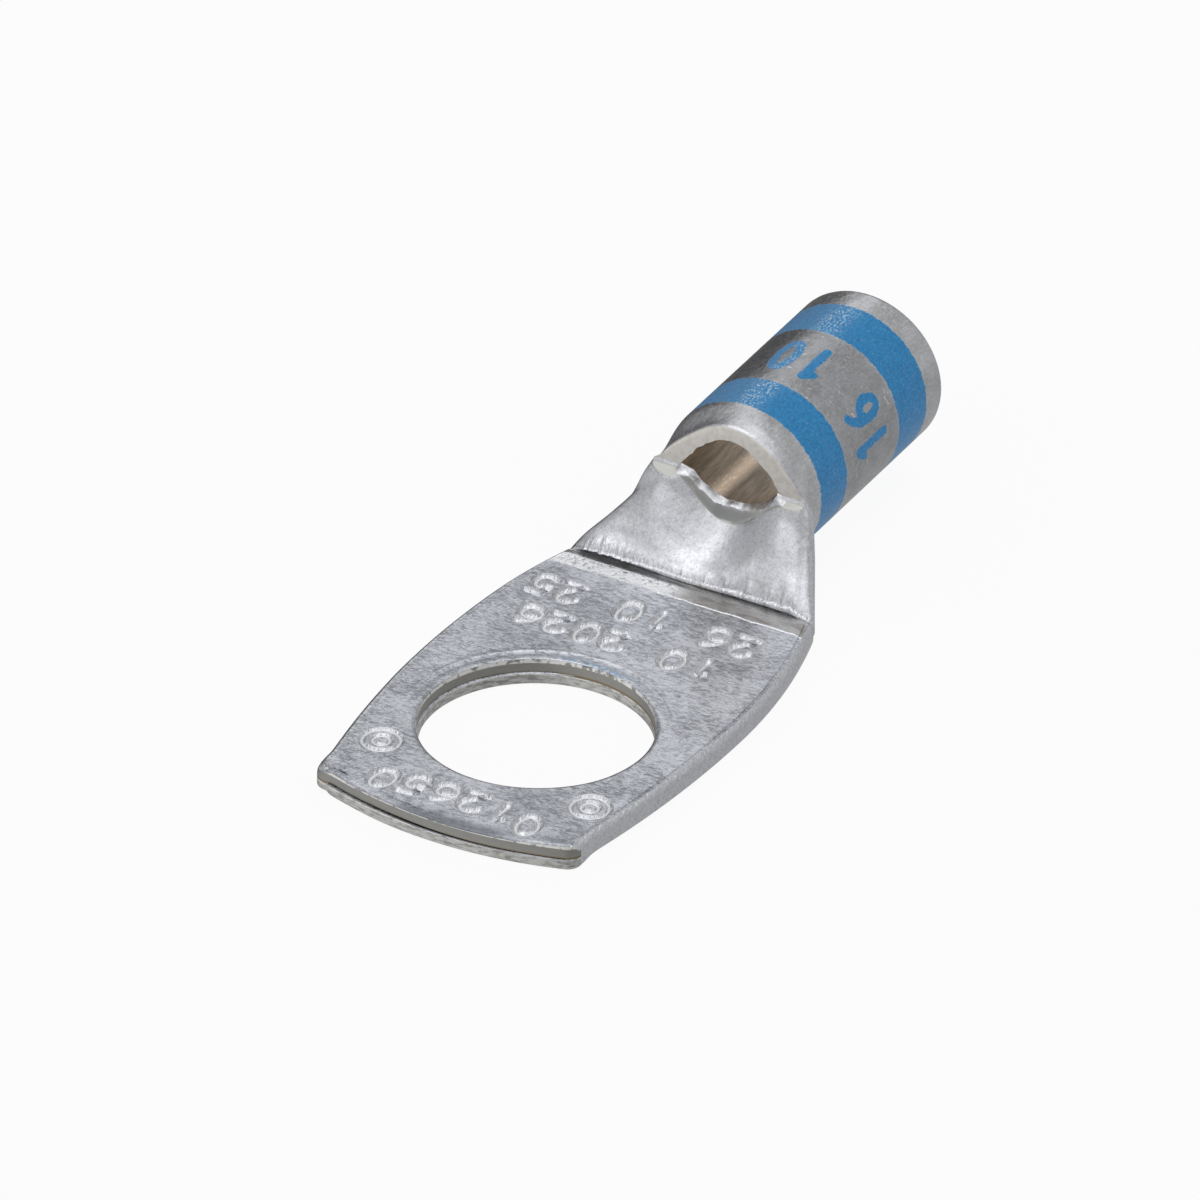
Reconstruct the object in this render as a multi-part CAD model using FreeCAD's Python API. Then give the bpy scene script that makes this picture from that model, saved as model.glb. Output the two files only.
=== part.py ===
import FreeCAD, Part
import math
import os

# Ring terminal of the long-barrel compression kind, pressed from one piece of copper tube.
# Millimetres. The origin is the stud hole's centre on the pad's underside, +X runs from the
# hole to the barrel's mouth, +Z is up, and Y runs across the pad.

# Stud hole and pad
stud_hole_diameter = 10.3
pad_thickness = 1.24
pad_width = 15.2
widest_x = 4.5
tip_reach = 9.05
tip_radius = 18.5
ear_inset = 1.05
ear_length = 1.3
ear_corner_radius = 0.5
crease_x = 13.4
crease_inset = 1.35
fold_edge_radius = 0.35

# Seam between the two flattened walls, open along the sheared tip
seam_height = 0.55
seam_gap = 0.14
seam_depth = 0.45
seam_end_margin = 0.9

# Barrel
barrel_diameter = 7.66
barrel_wall = 0.95
barrel_length = 12.72
barrel_lift = 0.24
barrel_tilt_deg = 1.2
mouth_outer_radius = 0.2
mouth_inner_chamfer = 0.3

# Neck, where the round tube is pressed flat
neck_length = 3.2
crease_step = 0.5
neck_wall = 0.9
neck_proud_of_pad = 0.075
neck_proud_of_barrel = 0.62
neck_underside_lift = 0.08
fold_below_axis = 0.85
shoulder_half_span = 3.4
squareness_at_crease = 2.8
squareness_at_window = 2.1
squareness_of_circle = 2.0
cavity_setback = 0.8
cavity_slit = 0.2

# Sight window, a saw cut whose pad side was pressed down with the neck
saw_floor_above_axis = 0.98
saw_floor_tilt_deg = 25.0
shoulder_above_axis = 1.88
lip_thickness = 0.42
lip_top_below_axis = 0.02
lip_height = 0.95

# How far a form runs on inside the next one, and how deep it lies under that one's skin
overlap = 1.3
cavity_overlap = 0.9
burial = 0.25

tip_x = -tip_reach
window_x = crease_x + neck_length
barrel_end_x = window_x + barrel_length
barrel_radius = barrel_diameter / 2
bore_radius = barrel_radius - barrel_wall
axis_height = barrel_radius + barrel_lift
saw_floor_height = axis_height + saw_floor_above_axis
shoulder_height = axis_height + shoulder_above_axis
lip_top_height = axis_height - lip_top_below_axis
lip_foot_height = lip_top_height - lip_height
tilt = math.radians(barrel_tilt_deg)
axis_direction = FreeCAD.Vector(math.cos(tilt), 0, math.sin(tilt))

pad_half = pad_width / 2
ear_y = pad_half - ear_inset
crease_y = pad_half - crease_inset
tip_centre_x = tip_x + tip_radius
ear_x = tip_centre_x - math.sqrt(tip_radius ** 2 - ear_y ** 2)
ear_start_x = ear_x + ear_length


def point(x, y, z=0.0):
    return FreeCAD.Vector(x, y, z)


def on_axis(x):
    """Point of the barrel's tilted axis at this x."""
    return point(x, 0, axis_height + (x - window_x) * math.tan(tilt))


def arc(start, middle, end):
    return Part.Arc(start, middle, end).toShape()


def line(start, end):
    return Part.makeLine(start, end)


def side_y(x):
    """Half width of the pad at this x: one arc towards the tip, one towards the neck."""
    if x < widest_x:
        run, drop = widest_x - ear_start_x, ear_inset
    else:
        run, drop = crease_x - widest_x, crease_inset
    radius = (run * run + drop * drop) / (2 * drop)
    return pad_half - radius + math.sqrt(radius * radius - (x - widest_x) ** 2)


def pad_side(sign):
    """Edges of one side of the pad, from the ear to the end buried in the neck."""
    mid_tip_x = (ear_start_x + widest_x) / 2
    mid_neck_x = (widest_x + crease_x) / 2
    ear = point(ear_x, sign * ear_y)
    ear_start = point(ear_start_x, sign * ear_y)
    widest = point(widest_x, sign * pad_half)
    crease = point(crease_x, sign * crease_y)
    buried = point(crease_x + overlap, sign * (crease_y - overlap))
    return [
        line(ear, ear_start),
        arc(ear_start, point(mid_tip_x, sign * side_y(mid_tip_x)), widest),
        arc(widest, point(mid_neck_x, sign * side_y(mid_neck_x)), crease),
        line(crease, buried),
    ]


def is_upright(edge):
    """Corner edges of the two ears."""
    box = edge.BoundBox
    upright = box.XLength < 0.01 and box.YLength < 0.01
    return upright and edge.CenterOfMass.x < ear_start_x - 0.5 * ear_length


def is_fold(edge):
    """Top and bottom edges along the two sides, ahead of the part that the neck covers."""
    box = edge.BoundBox
    along_side = box.ZLength < 0.01 and abs(edge.CenterOfMass.y) > 0.8 * ear_y
    return along_side and box.XMax < crease_x + 0.01 and box.XMin > ear_x + 0.1


def make_seam():
    """Thin slot that follows the tip's arc, at the height where the two walls meet."""
    centre = point(tip_centre_x, 0, seam_height)
    slot = Part.makeCylinder(tip_radius + seam_depth, seam_gap, centre)
    slot = slot.cut(Part.makeCylinder(tip_radius - seam_depth, seam_gap, centre))
    half_span = ear_y - seam_end_margin
    corner = point(tip_x - seam_depth, -half_span)
    between_ears = Part.makeBox(tip_radius, 2 * half_span, pad_thickness, corner)
    return slot.common(between_ears)


def make_pad():
    """Flat pad with arched sides, an arched sheared tip, rounded folds and the seam line."""
    tip = arc(point(ear_x, -ear_y), point(tip_x, 0), point(ear_x, ear_y))
    buried_x, buried_y = crease_x + overlap, crease_y - overlap
    back = line(point(buried_x, -buried_y), point(buried_x, buried_y))
    outline = Part.Wire(Part.__sortEdges__([tip, back] + pad_side(1) + pad_side(-1)))
    pad = Part.Face(outline).extrude(point(0, 0, pad_thickness))
    pad = pad.makeFillet(ear_corner_radius, [e for e in pad.Edges if is_upright(e)])
    fold_radius = min(fold_edge_radius, 0.45 * pad_thickness)
    pad = pad.makeFillet(fold_radius, [e for e in pad.Edges if is_fold(e)])
    return pad.cut(make_seam())


def neck_form(x):
    """Half width, fold height, shoulder height, valley dip, underside and squareness at x."""
    share = (x - crease_x) / neck_length

    def ramp(at_crease, at_window):
        return at_crease + (at_window - at_crease) * share

    half_width = ramp(crease_y + neck_proud_of_pad, barrel_radius + neck_proud_of_barrel)
    fold = ramp(pad_thickness / 2, axis_height - fold_below_axis)
    shoulder = ramp(pad_thickness + crease_step, shoulder_height)
    dip = ramp(0.0, shoulder_height - lip_foot_height)
    underside = -burial + (burial + neck_underside_lift) * share ** 3
    squareness = ramp(squareness_at_crease, squareness_at_window)
    return half_width, fold, shoulder, dip, underside, squareness


def valley_top(shoulder, dip):
    """Height of the top wall across the neck: two shoulders with a valley between them."""
    def top_at(y):
        share = min(1.0, abs(y) / shoulder_half_span)
        return shoulder - dip * (1 - share ** 2) ** 2
    return top_at


def ring(x, half_width, fold, top_at, underside, squareness):
    """Points round the neck at x: a squared oval about the fold height, with its own top."""
    steps = 12
    points = []
    for i in range(2 * steps):
        angle = math.pi * (i / steps - 0.5)
        y = half_width * math.sin(angle)
        reach = max(0.0, 1 - abs(y / half_width) ** squareness) ** (1 / squareness)
        goal = top_at(y) if i < steps else underside
        points.append(point(x, y, fold + (goal - fold) * reach))
    return points


def skin(rings):
    """Solid whose side is one smooth surface through the rings, closed by a flat face at each end."""
    count = len(rings[0])
    round_values = [i / count for i in range(count + 1)]
    first, last = rings[0][0].x, rings[-1][0].x
    long_values = [(points[0].x - first) / (last - first) for points in rings]
    loops = []
    for points in rings:
        loop = Part.BSplineCurve()
        loop.interpolate(Points=points, PeriodicFlag=True, Parameters=round_values)
        loops.append(loop)
    columns = []
    for group in zip(*[loop.getPoles() for loop in loops]):
        column = Part.BSplineCurve()
        column.interpolate(Points=list(group), Parameters=long_values)
        columns.append(column)
    surface = Part.BSplineSurface()
    surface.buildFromPolesMultsKnots([column.getPoles() for column in columns],
                                     loops[0].getMultiplicities(), columns[0].getMultiplicities(),
                                     loops[0].getKnots(), columns[0].getKnots(),
                                     True, False, loops[0].Degree, columns[0].Degree)
    ends = [Part.Face(Part.Wire(loop.toShape())) for loop in (loops[0], loops[-1])]
    shell = Part.Shell([surface.toShape()] + ends)
    shell.sewShape()
    solid = Part.Solid(shell)
    if solid.Volume < 0:
        solid.reverse()
    return solid


def make_neck():
    """Outside of the neck, from the step at the crease into the barrel's wall."""
    steps = 4
    rings = []
    for i in range(steps + 1):
        x = crease_x + neck_length * i / steps
        half_width, fold, shoulder, dip, underside, squareness = neck_form(x)
        rings.append(ring(x, half_width, fold, valley_top(shoulder, dip), underside, squareness))
    x = window_x + overlap
    centre_z = on_axis(x).z
    buried_radius = barrel_radius - burial
    buried_top = valley_top(centre_z + 0.25 * buried_radius, 0.0)
    buried_floor = centre_z - buried_radius
    rings.append(ring(x, buried_radius, centre_z, buried_top, buried_floor, squareness_of_circle))
    below_pad = Part.makeBox(2 * barrel_end_x, 2 * pad_width, 1, point(0, -pad_width, -1))
    return skin(rings).cut(below_pad)


def make_cavity():
    """Inside of the neck: the bore narrowing to a slit where the walls meet."""
    steps = 3
    start_x = crease_x + cavity_setback
    bore_floor = axis_height - bore_radius
    rings = []
    for i in range(steps + 1):
        share = i / steps
        x = start_x + (window_x - start_x) * share
        half_width, fold, shoulder, dip, underside, squareness = neck_form(x)
        floor = neck_wall + (bore_floor - neck_wall) * share ** 2
        roof = valley_top(shoulder - neck_wall, dip)
        middle = floor + 0.4 * max(cavity_slit, roof(0) - floor)
        rings.append(ring(x, half_width - neck_wall, middle, roof, floor, squareness))
    x = window_x + cavity_overlap
    centre_z = on_axis(x).z
    inner_radius = 0.8 * bore_radius
    roof = valley_top(centre_z + 0.2 * bore_radius, 0.0)
    rings.append(ring(x, inner_radius, centre_z - burial, roof, centre_z - inner_radius, squareness))
    return skin(rings)


def make_barrel():
    """Round tube outside, from the saw cut to the mouth, with a rounded outer edge."""
    length = barrel_length / math.cos(tilt)
    barrel = Part.makeCylinder(barrel_radius, length, on_axis(window_x), axis_direction)
    rim = [e for e in barrel.Edges if e.Closed and e.CenterOfMass.x > barrel_end_x - 0.1]
    return barrel.makeFillet(min(mouth_outer_radius, 0.4 * barrel_wall), rim)


def make_bore():
    """Bore from the saw cut out through the mouth, with a wire entry chamfer."""
    length = barrel_length / math.cos(tilt)
    bore = Part.makeCylinder(bore_radius, length + 1, on_axis(window_x), axis_direction)
    flare = 2 * mouth_inner_chamfer
    entry_start = on_axis(barrel_end_x) - axis_direction * mouth_inner_chamfer
    entry = Part.makeCone(bore_radius, bore_radius + flare, flare, entry_start, axis_direction)
    return bore.fuse(entry)


def make_saw_cut():
    """Space of the saw cut above its floor, which was tipped when the neck was pressed."""
    width = 2 * barrel_diameter
    corner = point(crease_x, -width / 2, saw_floor_height)
    cut = Part.makeBox(neck_length, width, barrel_diameter, corner)
    return cut.rotate(point(window_x, 0, saw_floor_height), point(0, 1, 0), -saw_floor_tilt_deg)


def make_lip():
    """Wall edge left standing under the window: a crescent plate that dips in the middle."""
    x = window_x - lip_thickness
    reach = bore_radius + burial
    left = point(x, reach, saw_floor_height)
    right = point(x, -reach, saw_floor_height)
    top = arc(left, point(x, 0, lip_top_height), right)
    foot = arc(right, point(x, 0, lip_foot_height - 2 * burial), left)
    return Part.Face(Part.Wire([top, foot])).extrude(point(2 * lip_thickness, 0, 0))


def make_lug():
    neck = make_neck().cut(make_saw_cut()).fuse(make_lip())
    lug = neck.fuse([make_pad(), make_barrel()])
    hole = Part.makeCylinder(stud_hole_diameter / 2, 3 * pad_thickness, point(0, 0, -pad_thickness))
    return lug.cut([make_cavity(), make_bore(), hole]).removeSplitter()


os.makedirs("parts", exist_ok=True)
lug = make_lug()
print("lug: solids", len(lug.Solids), "valid", lug.isValid(), "volume", round(lug.Volume, 2), "mm3")
lug.Solids[0].exportStep("parts/lug.step")
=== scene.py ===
import bpy
import numpy as np
from mathutils import Matrix, Vector


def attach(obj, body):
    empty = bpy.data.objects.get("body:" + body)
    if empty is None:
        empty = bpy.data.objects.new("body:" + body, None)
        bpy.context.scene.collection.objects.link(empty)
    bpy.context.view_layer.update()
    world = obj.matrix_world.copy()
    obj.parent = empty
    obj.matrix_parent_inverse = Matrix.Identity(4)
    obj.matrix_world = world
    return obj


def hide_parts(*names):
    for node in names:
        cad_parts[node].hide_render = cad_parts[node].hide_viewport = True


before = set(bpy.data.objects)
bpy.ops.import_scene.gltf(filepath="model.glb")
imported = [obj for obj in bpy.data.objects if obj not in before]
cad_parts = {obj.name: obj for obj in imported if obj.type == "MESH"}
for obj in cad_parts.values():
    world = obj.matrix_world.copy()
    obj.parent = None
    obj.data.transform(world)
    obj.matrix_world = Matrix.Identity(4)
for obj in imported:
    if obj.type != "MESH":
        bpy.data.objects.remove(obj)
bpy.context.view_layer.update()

# Lengths in this file are millimetres; putMesh, the stage and the shaders turn them to metres.
mm = 0.001


def smoothStep(low, high, value):  # 0 below low, 1 above high, an S-curve between
    share = np.clip((value - low) / (high - low), 0, 1)
    return share * share * (3 - 2 * share)


def hill(value, centre, width):  # a bell curve of height 1
    return np.exp(-((value - centre) / width) ** 2)


def softMin(a, b, softness):  # the lower of two heights, with the corner between them rounded
    gap = np.clip(0.5 + 0.5 * (b - a) / softness, 0, 1)
    return b + (a - b) * gap - softness * gap * (1 - gap)


def roughLine(along, seed, finest, count=24):  # a sum of sine waves, from eight times the finest length down
    draw = np.random.default_rng(seed)
    lengths = finest * 2.0 ** draw.uniform(0, 3, count)
    turns = draw.uniform(0, 2 * np.pi, count)
    waves = np.sin(2 * np.pi * along[..., None] / lengths + turns)
    return (waves * np.sqrt(lengths)).sum(-1) / np.sqrt((lengths / 2).sum())


def roughField(u, v, seed, cell):  # random heights on a square lattice, smoothly joined
    size = 64
    lattice = np.random.default_rng(seed).uniform(-1, 1, (size, size))
    a, b = u / cell, v / cell
    i, j = np.floor(a).astype(int), np.floor(b).astype(int)
    s, t = smoothStep(0, 1, a - i), smoothStep(0, 1, b - j)
    low = lattice[i % size, j % size] * (1 - s) + lattice[(i + 1) % size, j % size] * s
    high = lattice[i % size, (j + 1) % size] * (1 - s) + lattice[(i + 1) % size, (j + 1) % size] * s
    return low * (1 - t) + high * t


def srgbToLinear(code):  # hex text to linear red, green, blue, alpha
    values = np.array([int(code[i:i + 2], 16) for i in (1, 3, 5)]) / 255
    linear = np.where(values <= 0.04045, values / 12.92, ((values + 0.055) / 1.055) ** 2.4)
    return (*linear.tolist(), 1.0)


def addNode(tree, kind, settings=None, **links):  # one node; a link is a socket or a plain value
    node = tree.nodes.new(kind)
    for name, value in (settings or {}).items():
        setattr(node, name, value)
    for name, value in links.items():
        key = int(name[1:]) if name[0] == "_" else name.replace("_", " ")
        if isinstance(value, bpy.types.NodeSocket):
            tree.links.new(value, node.inputs[key])
        else:
            node.inputs[key].default_value = value
    return node


def newMaterial(name):
    material = bpy.data.materials.new(name)
    material.use_nodes = True
    material.node_tree.nodes.clear()
    return material, material.node_tree


def doMath(tree, operation, first, second=0.0):
    return addNode(tree, "ShaderNodeMath", dict(operation=operation), _0=first, _1=second).outputs[0]


def product(tree, *values):  # all the values multiplied
    total = values[0]
    for value in values[1:]:
        total = doMath(tree, "MULTIPLY", total, value)
    return total


def distance(tree, value, centre):  # how far the value is from the centre, on either side
    return doMath(tree, "ABSOLUTE", doMath(tree, "SUBTRACT", value, centre))


def ramp(tree, value, low, high, start=0.0, end=1.0):  # smooth change from start to end
    node = addNode(tree, "ShaderNodeMapRange", dict(interpolation_type="SMOOTHSTEP"), Value=value,
                   From_Min=low, From_Max=high, To_Min=start, To_Max=end)
    return node.outputs["Result"]


def mixColour(tree, share, first, second, blend="MIX"):
    node = addNode(tree, "ShaderNodeMix", dict(data_type="RGBA", blend_type=blend))
    for key, value in ((0, share), (6, first), (7, second)):
        if isinstance(value, bpy.types.NodeSocket):
            tree.links.new(value, node.inputs[key])
        else:
            node.inputs[key].default_value = value
    return node.outputs[2]


def places(tree):  # the object's own coordinates in millimetres: the vector and its x, y, z
    own = addNode(tree, "ShaderNodeTexCoord").outputs["Object"]
    scaled = addNode(tree, "ShaderNodeVectorMath", dict(operation="SCALE"), _0=own, Scale=1 / mm)
    split = addNode(tree, "ShaderNodeSeparateXYZ", Vector=scaled.outputs[0])
    return scaled.outputs[0], split.outputs["X"], split.outputs["Y"], split.outputs["Z"]


def noise(tree, vector, cell, stretch=(1, 1, 1), turn=0.0, detail=3.0, roughness=0.6, distortion=0.0):
    mapped = addNode(tree, "ShaderNodeMapping", dict(vector_type="TEXTURE"), Vector=vector,
                     Rotation=(0, 0, np.radians(turn)), Scale=tuple(cell * side for side in stretch))
    node = addNode(tree, "ShaderNodeTexNoise", Vector=mapped.outputs[0], Scale=1.0, Detail=detail,
                   Roughness=roughness, Distortion=distortion)
    return node.outputs[0]


def bump(tree, height, depth, normal=None):  # relief of this depth in millimetres
    node = addNode(tree, "ShaderNodeBump", Height=height, Distance=depth * mm, Strength=1.0)
    if normal is not None:
        tree.links.new(normal, node.inputs["Normal"])
    return node.outputs[0]


def finish(tree, **settings):
    shader = addNode(tree, "ShaderNodeBsdfPrincipled", **settings)
    addNode(tree, "ShaderNodeOutputMaterial", Surface=shader.outputs["BSDF"])


# Tin pressed between dies: a fine grain that breaks each reflection into flecks, browner and smoother on the
# strip before the neck, where tin was smeared up on one side. Painted shade darkens the top towards the tip,
# a painted highlight lines the die's edge before the strip, and painted shade darkens the hole's rim on the
# side facing the camera. Metal that flowed to the left corner is streaked. The struck marks take a painted
# highlight and a smoother finish.
# The tip colour gives the painted shade near the tip. The rim colour gives both the painted shade at the
# hole's near rim and the strip's brown smudges. The struck colour gives the marks' painted highlight, and the
# smear colour also paints the die edge's highlight.
pressed = dict(
    colour="#E2E5EC", dark="#989BA2", strip="#B9B7B3", smear="#F6F7FA", struck="#FBFCFF", tip="#6C7077",
    rim="#8E867D", roughness=0.36, grain=0.10, grainDepth=0.010, streak=0.13, streakDepth=0.016, flow=0.22,
    flowDepth=0.035, markX=12.1, markDepth=0.045, smearDepth=0.07, tipShade=0.85, tipReach=(-8.95, -8.05),
    tipBend=0.027, rimShadeReach=(5.22, 5.50), traceReach=(5.35, 5.60),
)


def pressedTin(name="pressed electro-tinned copper", paintedHighlightAndShine=0.0):
    material, tree = newMaterial(name)
    vector, x, y, z = places(tree)
    grain = noise(tree, vector, pressed["grain"], (1, 2.2, 1), 5, 3.0, 0.65, 0.8)
    streak = noise(tree, vector, pressed["streak"], (1, 2.8, 1), 5, 4.0, 0.72, 1.0)
    broad = noise(tree, vector, 2.0, detail=3.0)
    shade = doMath(tree, "ADD", ramp(tree, streak, 0.34, 0.62), ramp(tree, broad, 0.35, 0.65, -0.22, 0.22))
    colour = mixColour(tree, shade, srgbToLinear(pressed["dark"]), srgbToLinear(pressed["colour"]))
    # Painted shade: the top darkens towards the tip's edge, most across the middle.
    inward = doMath(tree, "SUBTRACT", x, product(tree, y, y, pressed["tipBend"]))
    sides = ramp(tree, distance(tree, y, -0.8), 1.5, 4.0, 1.0, 0.35)
    shadow = product(tree, ramp(tree, inward, *pressed["tipReach"], pressed["tipShade"], 0.0), sides)
    colour = mixColour(tree, shadow, colour, srgbToLinear(pressed["tip"]))
    # Painted highlight: struck marks are lightened towards the struck colour; they are also made a little
    # smoother.
    colour = mixColour(tree, paintedHighlightAndShine, colour, srgbToLinear(pressed["struck"]))
    onStrip = ramp(tree, x, pressed["markX"] - 0.02, pressed["markX"] + 0.1)
    colour = mixColour(tree, product(tree, onStrip, 0.7), colour, srgbToLinear(pressed["strip"]))
    smudge = noise(tree, vector, 0.8, (0.6, 2.5, 1), 0, 3.0)
    smudge = product(tree, onStrip, ramp(tree, smudge, 0.48, 0.6, 0.0, 0.6))
    colour = mixColour(tree, smudge, colour, srgbToLinear(pressed["rim"]))
    crumb = noise(tree, vector, 0.22, detail=4.0, roughness=0.7)
    smear = product(tree, onStrip, ramp(tree, y, -1.0, 1.0), ramp(tree, crumb, 0.22, 0.42))
    smear = product(tree, smear, ramp(tree, x, 12.95, 13.25, 1.0, 0.0))
    # Painted highlight: a thin pale line in the smear's colour along the die's wandering edge.
    markX = ramp(tree, broad, 0.3, 0.7, pressed["markX"] - 0.05, pressed["markX"] + 0.05)
    wander = doMath(tree, "SUBTRACT", x, markX)
    edgeHighlight = ramp(tree, doMath(tree, "ABSOLUTE", wander), 0.02, 0.08, 1.0, 0.0)
    edgeHighlight = product(tree, edgeHighlight, ramp(tree, crumb, 0.35, 0.6, 0.25, 0.9))
    colour = mixColour(tree, doMath(tree, "MAXIMUM", smear, edgeHighlight), colour, srgbToLinear(pressed["smear"]))
    radius = doMath(tree, "SQRT", doMath(tree, "ADD", product(tree, x, x), product(tree, y, y)))
    # Painted shade: a ring just outside the hole darkens to the rim colour on the side facing the camera.
    near = doMath(tree, "ADD", product(tree, x, -0.87), product(tree, y, -0.49))
    towardCamera = ramp(tree, near, 0.5, 4.0, 0.0, 0.8)
    rimShade = product(tree, ramp(tree, radius, *pressed["rimShadeReach"], 1.0, 0.0), towardCamera)
    colour = mixColour(tree, rimShade, colour, srgbToLinear(pressed["rim"]))
    middle = pressed["roughness"] - 0.08 * paintedHighlightAndShine
    rough = ramp(tree, grain, 0.3, 0.7, middle - 0.1, middle + 0.1)
    trace = product(tree, ramp(tree, radius, *pressed["traceReach"], 1.0, 0.0), ramp(tree, x, 5.0, 5.1))
    trace = product(tree, trace, ramp(tree, crumb, 0.42, 0.55, 0.0, 0.45))
    colour = mixColour(tree, trace, colour, srgbToLinear(satin["inkLight"]))
    normal = bump(tree, ramp(tree, wander, -0.05, 0.05), pressed["markDepth"])
    drift = doMath(tree, "ADD", crumb, product(tree, doMath(tree, "SUBTRACT", x, pressed["markX"]), 2.2))
    normal = bump(tree, product(tree, smear, drift), pressed["smearDepth"], normal)
    byCorner = product(tree, ramp(tree, x, -6.2, -4.6, 1.0, 0.0), ramp(tree, y, 1.5, 4.0))
    flow = noise(tree, vector, pressed["flow"], (1, 5, 1), 61, 3.0)
    flow = product(tree, flow, byCorner, ramp(tree, z, 1.0, 1.15))
    normal = bump(tree, flow, pressed["flowDepth"], normal)
    normal = bump(tree, streak, pressed["streakDepth"], normal)
    normal = bump(tree, grain, pressed["grainDepth"], normal)
    finish(tree, Base_Color=colour, Metallic=1.0, Roughness=rough, Normal=normal)
    return material


# Tin on the drawn neck and barrel: soft lumps and fine scratches under a satin sheen; painted shade darkens
# the barrel between the bands, and white nicks are scratches with painted glints. The blue ink is a layer in
# the same
# material: two bands, and the figures printed between them, with a painted sheen on the left flank and
# painted glints near the top.
# Painted shade darkens the barrel between the bands; the nicks, the ink's flank and the specks near the top
# carry painted glints and a painted sheen.
satin = dict(
    neck="#E0E1E6", neckDark="#C6C7CC", barrel="#D8D9DD", dark="#BEBFC1", between="#828387", nickAndGlint="#FAFAFA",
    roughness=0.31, lump=0.8, lumpDepth=0.05, grain=0.12, grainDepth=0.006, scratch=0.09, scratchDepth=0.005,
    hair=0.13, hairDepth=0.07, firstBand=(18.25, 20.55), secondBand=(25.25, 27.75), ink="#1273AE",
    inkLight="#2A92CE", glintSpeck="#BCD6E6", flankSheen="#9AA3B0",
)


def inkShare(tree, vector, x):  # 1 on a band or a figure, 0 off it, with a slightly uneven edge
    outside = addNode(tree, "ShaderNodeAttribute", dict(attribute_name="printed")).outputs["Fac"]
    for low, high in (satin["firstBand"], satin["secondBand"]):
        middle, half = (low + high) / 2, (high - low) / 2
        away = doMath(tree, "SUBTRACT", distance(tree, x, middle), half)
        outside = doMath(tree, "MINIMUM", outside, away)
    uneven = noise(tree, vector, 0.22, detail=3.0)
    outside = doMath(tree, "ADD", outside, ramp(tree, uneven, 0.2, 0.8, -0.06, 0.06))
    patchiness = noise(tree, vector, 0.10, detail=2.0)
    whole = ramp(tree, outside, -0.03, 0.03, 1.0, 0.0)
    return product(tree, whole, ramp(tree, patchiness, 0.64, 0.72, 1.0, 0.5))


def satinTin():
    material, tree = newMaterial("satin electro-tinned copper with blue ink")
    vector, x, y, z = places(tree)
    lump = noise(tree, vector, satin["lump"], detail=2.0, roughness=0.5)
    grain = noise(tree, vector, satin["grain"], (1, 1, 1), 0, 3.0, 0.6, 0.8)
    scratch = noise(tree, vector, satin["scratch"], (3, 1, 1), 0, 4.0, 0.7, 0.5)
    nickAndGlint = noise(tree, vector, 0.45, (0.35, 1.6, 1.6), 10, 2.0, 0.6, 2.0)
    hair = noise(tree, vector, satin["hair"], (3, 1, 3), 12, 2.0, 0.6, 0.4)
    onBarrel = ramp(tree, x, 16.2, 17.4)
    mottle = doMath(tree, "ADD", ramp(tree, scratch, 0.32, 0.68), ramp(tree, lump, 0.3, 0.7, -0.3, 0.3))
    dull = mixColour(tree, mottle, srgbToLinear(satin["dark"]), srgbToLinear(satin["barrel"]))
    # Painted shade: the barrel between the two bands is darkened.
    middle = product(tree, ramp(tree, x, 20.3, 20.8), ramp(tree, x, 25.0, 25.5, 0.35, 0.0))
    dull = mixColour(tree, middle, dull, srgbToLinear(satin["between"]), "MULTIPLY")
    # White nicks: partly scratches, partly painted glints.
    dull = mixColour(tree, ramp(tree, nickAndGlint, 0.66, 0.71), dull, srgbToLinear(satin["nickAndGlint"]))
    speckled = ramp(tree, grain, 0.3, 0.6)
    pale = mixColour(tree, speckled, srgbToLinear(satin["neckDark"]), srgbToLinear(satin["neck"]))
    colour = mixColour(tree, onBarrel, pale, dull)
    ink = inkShare(tree, vector, x)
    patch = ramp(tree, grain, 0.3, 0.7)
    inkTone = mixColour(tree, patch, srgbToLinear(satin["ink"]), srgbToLinear(satin["inkLight"]))
    # Painted reflection: the ink greys towards the left flank.
    inkTone = mixColour(tree, ramp(tree, y, -0.2, 1.2, 0.0, 0.25), inkTone, srgbToLinear(satin["flankSheen"]))
    # Painted glints: pale specks on the ink along the top of the barrel.
    crownGlintZone = product(tree, ramp(tree, distance(tree, y, 0.1), 0.25, 0.9, 1.0, 0.0), ramp(tree, z, 5.0, 6.0))
    glintSpeck = product(tree, crownGlintZone, ramp(tree, noise(tree, vector, 0.09, (1.6, 1, 1)), 0.52, 0.62, 0.0, 0.9))
    inkTone = mixColour(tree, glintSpeck, inkTone, srgbToLinear(satin["glintSpeck"]))
    colour = mixColour(tree, ink, colour, inkTone)
    rough = ramp(tree, scratch, 0.3, 0.7, satin["roughness"] - 0.07, satin["roughness"] + 0.07)
    hung = product(tree, hair, ramp(tree, x, 13.45, 13.85, 1.0, 0.0))
    normal = bump(tree, lump, satin["lumpDepth"])
    normal = bump(tree, hung, satin["hairDepth"], normal)
    normal = bump(tree, grain, satin["grainDepth"], normal)
    normal = bump(tree, scratch, satin["scratchDepth"], normal)
    metallic = doMath(tree, "SUBTRACT", 1.0, product(tree, ink, 0.92))
    finish(tree, Base_Color=colour, Metallic=metallic, Roughness=rough, Normal=normal)
    return material


# Sheared edges: tin dragged thin over copper, grey, paler on the lower wall and at the window, with copper's
# brown at the seam and painted highlights in patches along the top edge and the lower wall's edge.
sheared = dict(upper="#9D9C97", lower="#CFCFCD", dark="#979692", edge="#FAFAF8", lip="#B6B6B3",
               seam="#86724E", roughness=0.36)


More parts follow.
